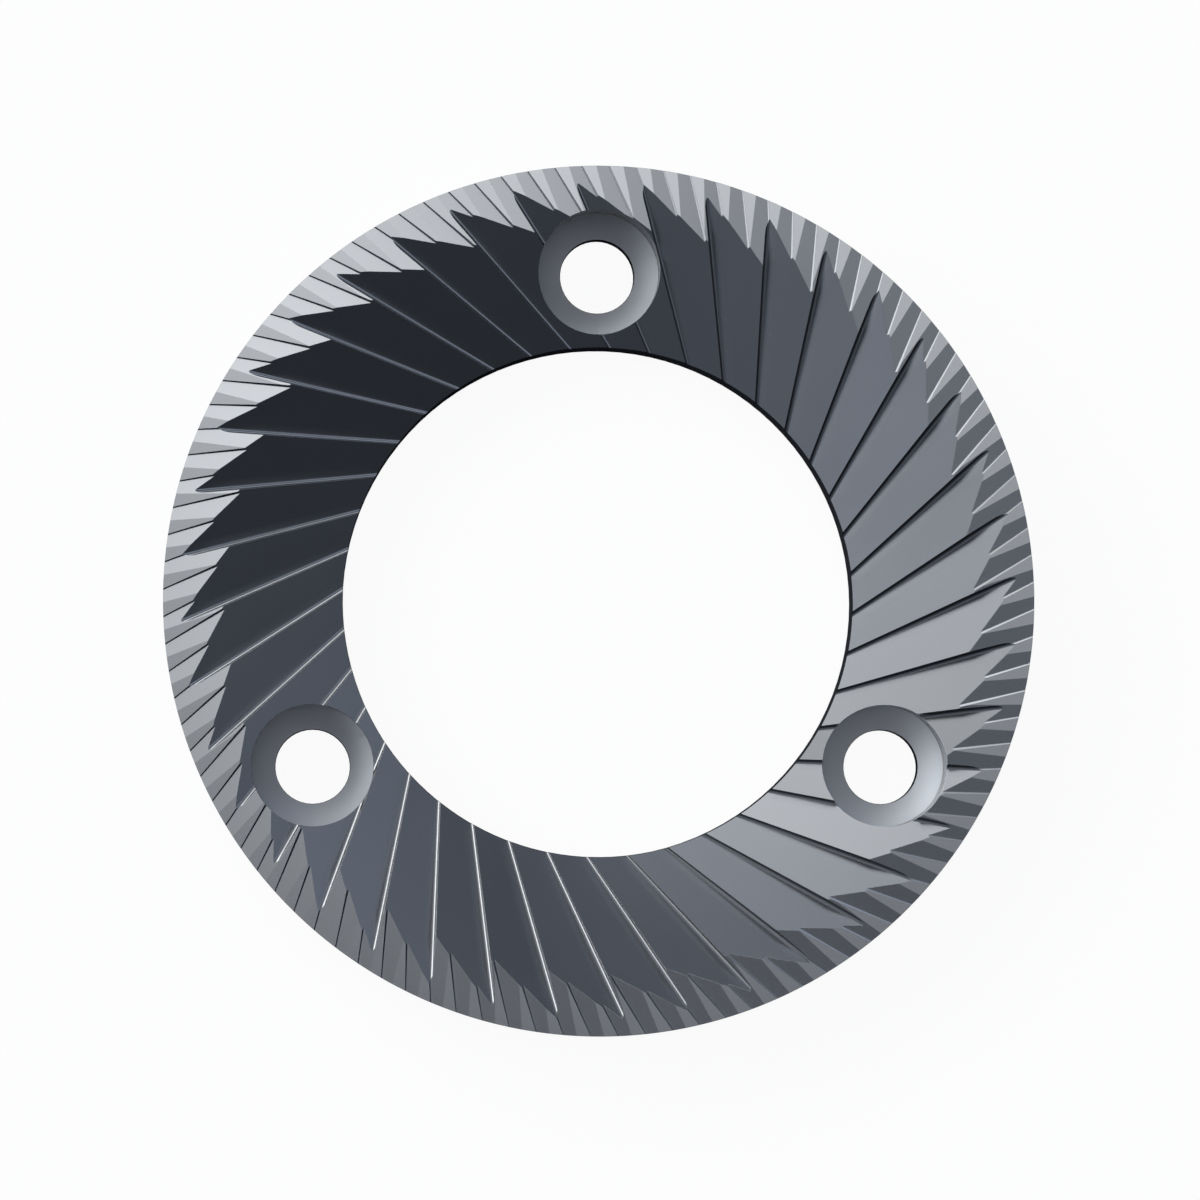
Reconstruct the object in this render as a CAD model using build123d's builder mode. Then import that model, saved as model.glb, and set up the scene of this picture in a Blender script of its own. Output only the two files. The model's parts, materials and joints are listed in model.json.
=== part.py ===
from build123d import *
from math import acos, asin, atan, cos, degrees, pi, radians, sin, sqrt, tan
import os

# Flat grinder burr, lying on its back face with the teeth up.
# The origin is the centre of the back face, +Z runs up the bore and +Y points at a screw hole.

# Ring
outer_diameter = 64.0
bore_diameter = 37.7
thickness = 6.0

# Countersunk screw holes, with a pocket that takes the head below the tooth tips
screw_count = 3
screw_circle_diameter = 48.6
screw_size = 5.0
screw_clearance = 0.5
screw_head_pocket_diameter = 9.0
screw_head_angle = 90
screw_hole_wall = 1.2
first_screw_angle = 90

# Breaker teeth: saw-tooth grooves that climb from the bore and run out on the flat top
breaker_count = 40
breaker_tip_angle = 3.7
breaker_tip_radius = 31.05
breaker_line_offset = 11.0
bore_wall_height = 2.6
breaker_floor_rise = 20
breaker_wall_lean = 6
breaker_root_radius = 0.25

# Finishing teeth: shallow relieved lands between the breaker tips and the rim
finishing_per_breaker = 2.5
finishing_foot_angle = 2.49
finishing_line_offset = 13.4
finishing_depth_at_rim = 0.05
finishing_land_share = 0.55
finishing_land_end_radius = 27.5
finishing_wall_lean = 60

# How far a cutter runs past the surfaces it cuts
overrun = 1.0

outer_radius = outer_diameter / 2
bore_radius = bore_diameter / 2
screw_hole_radius = (screw_size + screw_clearance) / 2
screw_head_pocket_radius = screw_head_pocket_diameter / 2


def along_line(radius, offset):
    """Distance from the foot of a straight line that passes the axis at offset, out to a radius."""
    return sqrt(radius**2 - offset**2)


def line_angle(radius, offset):
    """Angle that the same line has turned through at a radius, in degrees."""
    return degrees(acos(offset / radius))


# One breaker groove, with its root line lying in the plane's z direction and its floor toward x
breaker_run = along_line(breaker_tip_radius, breaker_line_offset) - along_line(bore_radius, breaker_line_offset)
breaker_root_slope = degrees(atan((thickness - bore_wall_height) / breaker_run))
breaker_pitch_at_tip = 2 * pi * breaker_tip_radius / breaker_count
breaker_swing = degrees(asin(breaker_line_offset / breaker_tip_radius))
breaker_inward = Vector(-1, 0, 0).rotate(Axis.Z, breaker_swing)
breaker_sideways = Vector(0, -1, 0).rotate(Axis.Z, breaker_swing)
breaker_direction = breaker_inward * cos(radians(breaker_root_slope)) - Vector(
    0, 0, sin(radians(breaker_root_slope))
)
breaker_start = Vector(breaker_tip_radius, 0, thickness) - breaker_direction * overrun
breaker_section_plane = Plane(origin=breaker_start, x_dir=breaker_sideways, z_dir=breaker_direction)
breaker_section_height = thickness
breaker_length = (breaker_run + breaker_pitch_at_tip + overrun) / cos(radians(breaker_root_slope))

with BuildPart() as breaker_cutter:
    with BuildSketch(breaker_section_plane):
        with BuildLine():
            Polyline(
                (0, 0),
                (breaker_pitch_at_tip, breaker_pitch_at_tip * tan(radians(breaker_floor_rise))),
                (breaker_pitch_at_tip, breaker_section_height),
                (-breaker_section_height * tan(radians(breaker_wall_lean)), breaker_section_height),
                close=True,
            )
        breaker_section = make_face()
        fillet(breaker_section.vertices().sort_by_distance((0, 0))[0], breaker_root_radius)
    extrude(amount=breaker_length)

# One finishing groove: its foot line crosses the rim at angle 0 and its floor leans back from it
finishing_count = round(breaker_count * finishing_per_breaker)
finishing_pitch = 360 / finishing_count
finishing_swing = degrees(asin(finishing_line_offset / outer_radius))
land_edge_at_rim = finishing_pitch * (1 - finishing_land_share)
land_end_angle = finishing_pitch - (
    line_angle(outer_radius, finishing_line_offset) - line_angle(finishing_land_end_radius, finishing_line_offset)
)
foot_at_rim = along_line(outer_radius, finishing_line_offset)
rim_reach = outer_radius * sin(radians(land_edge_at_rim - finishing_swing)) + finishing_line_offset
end_reach = finishing_land_end_radius * sin(radians(land_end_angle - finishing_swing)) + finishing_line_offset
rim_station = outer_radius * cos(radians(land_edge_at_rim - finishing_swing)) - foot_at_rim
end_station = finishing_land_end_radius * cos(radians(land_end_angle - finishing_swing)) - foot_at_rim
land_edge_slant = (end_reach - rim_reach) / (rim_station - end_station)
floor_reach_at_rim = rim_reach + land_edge_slant * rim_station
finishing_floor_slope = finishing_depth_at_rim / floor_reach_at_rim
finishing_foot_slope = finishing_floor_slope * land_edge_slant

finishing_outward = Vector(1, 0, 0).rotate(Axis.Z, finishing_swing)
finishing_direction = (finishing_outward + Vector(0, 0, finishing_foot_slope)).normalized()
finishing_sideways = Vector(0, 1, 0).rotate(Axis.Z, finishing_swing)
finishing_run = outer_radius - finishing_land_end_radius + overrun
finishing_foot = Vector(outer_radius, 0, thickness - finishing_depth_at_rim)
finishing_section_plane = Plane(
    origin=finishing_foot - finishing_direction * finishing_run,
    x_dir=finishing_sideways,
    z_dir=finishing_direction,
)
finishing_pitch_at_rim = 2 * pi * outer_radius / finishing_count

with BuildPart() as finishing_cutter:
    with BuildSketch(finishing_section_plane):
        with BuildLine():
            Polyline(
                (0, 0),
                (finishing_pitch_at_rim, finishing_pitch_at_rim * finishing_floor_slope),
                (finishing_pitch_at_rim, overrun),
                (-overrun * tan(radians(finishing_wall_lean)), overrun),
                close=True,
            )
        make_face()
    extrude(amount=finishing_run + overrun)

# Height at which the cone of a screw hole opens into the pocket for the head
countersink_height = screw_hole_wall + (screw_head_pocket_radius - screw_hole_radius) / tan(
    radians(screw_head_angle / 2)
)

with BuildPart() as burr:
    with BuildSketch():
        Circle(outer_radius)
        Circle(bore_radius, mode=Mode.SUBTRACT)
    extrude(amount=thickness)
    with PolarLocations(0, breaker_count, start_angle=breaker_tip_angle):
        add(breaker_cutter.part, mode=Mode.SUBTRACT)
    with PolarLocations(0, finishing_count, start_angle=finishing_foot_angle):
        add(finishing_cutter.part, mode=Mode.SUBTRACT)
    with Locations((0, 0, countersink_height)):
        with PolarLocations(screw_circle_diameter / 2, screw_count, start_angle=first_screw_angle):
            CounterSinkHole(
                radius=screw_hole_radius,
                counter_sink_radius=screw_head_pocket_radius,
                depth=thickness,
                counter_sink_angle=screw_head_angle,
            )

burr.part.label = "burr"
os.makedirs("parts", exist_ok=True)
export_step(burr.part, "parts/burr.step")
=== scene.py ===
import json
import math

import bpy
from mathutils import Matrix, Vector

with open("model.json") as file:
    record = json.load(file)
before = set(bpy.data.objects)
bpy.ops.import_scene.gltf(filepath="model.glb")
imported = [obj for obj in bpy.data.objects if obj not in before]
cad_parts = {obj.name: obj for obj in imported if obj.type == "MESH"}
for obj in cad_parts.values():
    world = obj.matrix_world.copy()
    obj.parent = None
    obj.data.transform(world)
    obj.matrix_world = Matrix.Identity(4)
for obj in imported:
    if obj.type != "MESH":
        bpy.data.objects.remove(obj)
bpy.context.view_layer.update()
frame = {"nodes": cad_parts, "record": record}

MM = 0.001
burr = frame["nodes"]["burr"]
mount_sizes = {mount["name"]: mount["dims"] for mount in frame["record"]["mounts"]}

# Sizes of the burr that its finishes follow
bore_radius = mount_sizes["bore"]["r_mm"] * MM
screw_hole_radius = mount_sizes["screw_holes"]["hole_r_mm"] * MM
screw_hole_wall = 1.2 * MM
head_pocket_radius = 4.5 * MM
screw_circle_radius = mount_sizes["screw_holes"]["pcd_mm"] / 2 * MM
screw_count = mount_sizes["screw_holes"]["count"]
first_screw_angle = 90

# How far a finish reaches past its wall, or stops short of it
seam = 0.03 * MM

# The screw holes, on their circle about the bore
screw_places = []
for number in range(screw_count):
    turn = math.radians(first_screw_angle + number * 360 / screw_count)
    screw_places.append((screw_circle_radius * math.cos(turn), screw_circle_radius * math.sin(turn)))


class Value:
    """A socket of a finish. Arithmetic on it adds Math nodes."""

    def __init__(self, finish, socket):
        self.finish = finish
        self.socket = socket

    def math(self, operation, *others):
        return self.finish.node("ShaderNodeMath", {"operation": operation}, dict(enumerate(others)))

    def __add__(self, other):
        return self.math("ADD", self, other)

    def __radd__(self, other):
        return self.math("ADD", other, self)

    def __sub__(self, other):
        return self.math("SUBTRACT", self, other)

    def __rsub__(self, other):
        return self.math("SUBTRACT", other, self)

    def __mul__(self, other):
        return self.math("MULTIPLY", self, other)

    def __rmul__(self, other):
        return self.math("MULTIPLY", other, self)

    def clamped(self):
        return self.math("MINIMUM", self.math("MAXIMUM", self, 0.0), 1.0)

    def least(self, other):
        return self.math("MINIMUM", self, other)

    def power(self, exponent):
        return self.math("POWER", self, exponent)

    def below(self, limit):
        """1 where the value is under the limit, else 0."""
        return self.math("LESS_THAN", self, limit)


class Finish:
    """The nodes of one finish, of a material or of the studio's air."""

    def __init__(self, owner):
        owner.use_nodes = True
        self.tree = owner.node_tree
        self.tree.nodes.clear()

    def node(self, kind, settings=None, sockets=None, out=0):
        """Adds a node: its settings first, then a value or a link for each named or numbered socket."""
        made = self.tree.nodes.new(kind)
        for name, value in (settings or {}).items():
            setattr(made, name, value)
        for name, value in (sockets or {}).items():
            if isinstance(value, Value):
                self.tree.links.new(value.socket, made.inputs[name])
            else:
                made.inputs[name].default_value = value
        return Value(self, made.outputs[out]) if made.outputs else made

    def blend(self, factor, low, high):
        """Colour that goes from low to high; a Mix node's colours are its sockets 6 and 7 and output 2."""
        return self.node(
            "ShaderNodeMix", {"data_type": "RGBA"}, {"Factor": factor, 6: low, 7: high}, out=2
        )

    def vector(self, operation, first, second=(0.0, 0.0, 0.0), out="Vector"):
        return self.node("ShaderNodeVectorMath", {"operation": operation}, {0: first, 1: second}, out=out)

    def grey(self, value):
        """The same value on all three channels."""
        return self.node("ShaderNodeCombineXYZ", {}, {"X": value, "Y": value, "Z": value})

    def distance(self, place, x, y):
        """Distance from an axis along Z that passes through x, y."""
        beside = self.vector("SUBTRACT", place, (x, y, 0.0))
        return self.vector("LENGTH", self.vector("MULTIPLY", beside, (1.0, 1.0, 0.0)), out="Value")

    def noise(self, place, waves, detail):
        """Soft random value about 0.5, with so many waves a metre."""
        return self.node("ShaderNodeTexNoise", {}, {"Vector": place, "Scale": waves, "Detail": detail})


def hardened_steel(name):
    """Satin steel of the teeth, rougher in its corners; turned screw pockets; the bore and screw-hole walls
    painted near-black and matt as painted shade.
    """
    dark_steel = (0.226, 0.229, 0.234, 1.0)
    light_steel = (0.256, 0.259, 0.264, 1.0)
    turned_steel = (0.46, 0.475, 0.495, 1.0)
    # Near-black painted shade for the bore and screw-hole walls, in place of the steel's reflection of the
    # pale floor
    painted_shade_black = (0.015, 0.016, 0.019, 1.0)
    corner_reach = 0.9 * MM
    edge_radius = 0.03 * MM
    cloud_waves = 90.0
    grain_waves = 9000.0
    grain_height = 0.004 * MM
    grain_strength = 0.12

    # Roughness of the open steel, and what its clouds, corners and turned pockets add
    open_roughness = 0.16
    cloud_roughness = 0.05
    corner_roughness = 0.35
    pocket_roughness = 0.5

    material = bpy.data.materials.new(name)
    finish = Finish(material)
    place = finish.node("ShaderNodeTexCoord", out="Object")
    from_axis = finish.distance(place, 0.0, 0.0)
    from_screw = finish.distance(place, *screw_places[0])
    for screw_place in screw_places[1:]:
        from_screw = from_screw.least(finish.distance(place, *screw_place))
    bore = from_axis.below(bore_radius + seam)
    screw_hole = from_screw.below(screw_hole_radius + seam)
    height = finish.node("ShaderNodeSeparateXYZ", {}, {"Vector": place}, out="Z")
    above_wall = 1.0 - height.below(screw_hole_wall - seam)
    pocket = (from_screw.below(head_pocket_radius - seam) - screw_hole) * above_wall
    # The bore and screw-hole walls, which carry the painted shade
    painted_shade_walls = (bore + screw_hole).clamped()

    cloud = finish.noise(place, cloud_waves, detail=3.0)
    grain = finish.noise(place, grain_waves, detail=1.0)

    # 1 in the open, and less in the corner between a floor and its wall
    openness = finish.node(
        "ShaderNodeAmbientOcclusion", {"samples": 4, "only_local": True}, {"Distance": corner_reach}, out="AO"
    )
    depth = 1.0 - openness
    roughness = open_roughness + cloud_roughness * cloud + corner_roughness * depth
    # The painted-shade walls are made fully rough
    roughness = (roughness + pocket_roughness * pocket + painted_shade_walls).clamped()
    teeth = finish.blend(cloud, dark_steel, light_steel)
    turned = finish.blend(pocket, teeth, turned_steel)
    # The bore and screw-hole walls painted near-black as painted shade
    colour = finish.blend(painted_shade_walls, turned, painted_shade_black)

    soft_edges = finish.node("ShaderNodeBevel", {"samples": 6}, {"Radius": edge_radius})
    surface = finish.node(
        "ShaderNodeBump",
        {},
        {"Strength": grain_strength, "Distance": grain_height, "Height": grain, "Normal": soft_edges},
    )
    shader = finish.node(
        "ShaderNodeBsdfPrincipled",
        {},
        {
            "Base Color": colour,
            # The painted-shade walls are not metal, so their painted black stays black
            "Metallic": 1.0 - painted_shade_walls,
            "Roughness": roughness,
            "Specular IOR Level": 0.0,
            "Normal": surface,
        },
    )
    finish.node("ShaderNodeOutputMaterial", {}, {"Surface": shader})
    return material


def pale_floor():
    """Studio floor: white to the camera and in gloss, and still dimmed where the burr shades it."""
    pale = (0.9, 0.9, 0.9, 1.0)
    white = (1.0, 1.0, 1.0, 1.0)
    white_share = 0.94

    material = bpy.data.materials.new("pale_floor")
    finish = Finish(material)
    seen = 0.0
    for ray in ("Is Camera Ray", "Is Glossy Ray", "Is Transmission Ray"):
        seen = seen + finish.node("ShaderNodeLightPath", out=ray)
    matt = finish.node("ShaderNodeBsdfDiffuse", {}, {"Color": pale})
    shining = finish.node("ShaderNodeEmission", {}, {"Color": white, "Strength": 1.0})
    mixed = finish.node("ShaderNodeMixShader", {}, {0: seen.clamped() * white_share, 1: matt, 2: shining})
    finish.node("ShaderNodeOutputMaterial", {}, {"Surface": mixed})
    return material


def studio_air(glows):
    """Dark studio with soft glows in the distance.

    Each has its azimuth from +X towards +Y, its angle off zenith and its spread, in degrees, then its
    strength and its tint.
    """
    world = bpy.data.worlds.new("studio_air")
    bpy.context.scene.world = world
    finish = Finish(world)
    ray = finish.node("ShaderNodeTexCoord", out="Generated")
    light = (0.0, 0.0, 0.0)
    for azimuth, off_zenith, spread, strength, tint in glows:
        around, down = math.radians(azimuth), math.radians(off_zenith)
        towards = (math.sin(down) * math.cos(around), math.sin(down) * math.sin(around), math.cos(down))
        facing = finish.vector("DOT_PRODUCT", ray, towards, out="Value").clamped()
        glow = facing.power(1.0 / math.radians(spread) ** 2) * strength
        light = finish.vector("ADD", finish.vector("MULTIPLY", finish.grey(glow), tint), light)
    shine = finish.node("ShaderNodeBackground", {}, {"Color": light, "Strength": 1.0})
    finish.node("ShaderNodeOutputWorld", {}, {"Surface": shine})


steel = hardened_steel("burr_steel")
for slot in burr.material_slots:
    slot.material = steel

floor_width = 6.0
bpy.ops.mesh.primitive_plane_add(size=floor_width, location=(0.0, 0.0, 0.0))
floor = bpy.context.object
floor.name = "floor"
floor.data.materials.append(pale_floor())

NEUTRAL = (0.98, 1.0, 1.02)
COOL = (0.92, 1.0, 1.12)
BLUE = (0.88, 1.0, 1.23)
studio_air(
    [
        # Key light over the burr, on the lands between the breaker tips and the rim
        (80, 10, 5, 2.75, NEUTRAL),
        (90, 17, 7, 1.45, NEUTRAL),
        # Half way down, on the groove floors at the lower right
        (110, 50, 6, 2.1, NEUTRAL),
        (135, 50, 6, 1.7, NEUTRAL),
        (150, 45, 8, 0.6, COOL),
        (90, 55, 8, 0.65, BLUE),
        # Low at the upper left, on the steep breaker walls and in the screw pockets
        (100, 70, 10, 4.0, NEUTRAL),
        (135, 70, 10, 3.2, NEUTRAL),
        (160, 70, 10, 6.5, NEUTRAL),
        (185, 70, 10, 5.5, NEUTRAL),
        (135, 85, 10, 7.5, NEUTRAL),
        # Dim fill on the other groove floors, and from everywhere above
        (60, 70, 10, 1.5, BLUE),
        (0, 30, 10, 0.7, BLUE),
        (20, 42, 10, 0.55, BLUE),
        (180, 42, 10, 0.4, BLUE),
        (215, 50, 15, 0.2, BLUE),
        (0, 0, 35, 0.19, BLUE),
    ]
)

# The photo's point of view, above the teeth; the turn is an axis times an angle in radians
camera_place = Vector((-20.7, -24.5, 440.1)) * MM
camera_turn = Vector((0.0562, -0.0476, 0.0010))
camera_data = bpy.data.cameras.new("camera")
camera_data.sensor_width = 36.0
camera_data.lens = 178.0
camera = bpy.data.objects.new("camera", camera_data)
bpy.context.collection.objects.link(camera)
camera.matrix_world = Matrix.Translation(camera_place) @ Matrix.Rotation(camera_turn.length, 4, camera_turn)
camera_data.clip_start, camera_data.clip_end = 0.01, 20.0
bpy.context.scene.camera = camera

bpy.context.scene.view_settings.view_transform = "Standard"
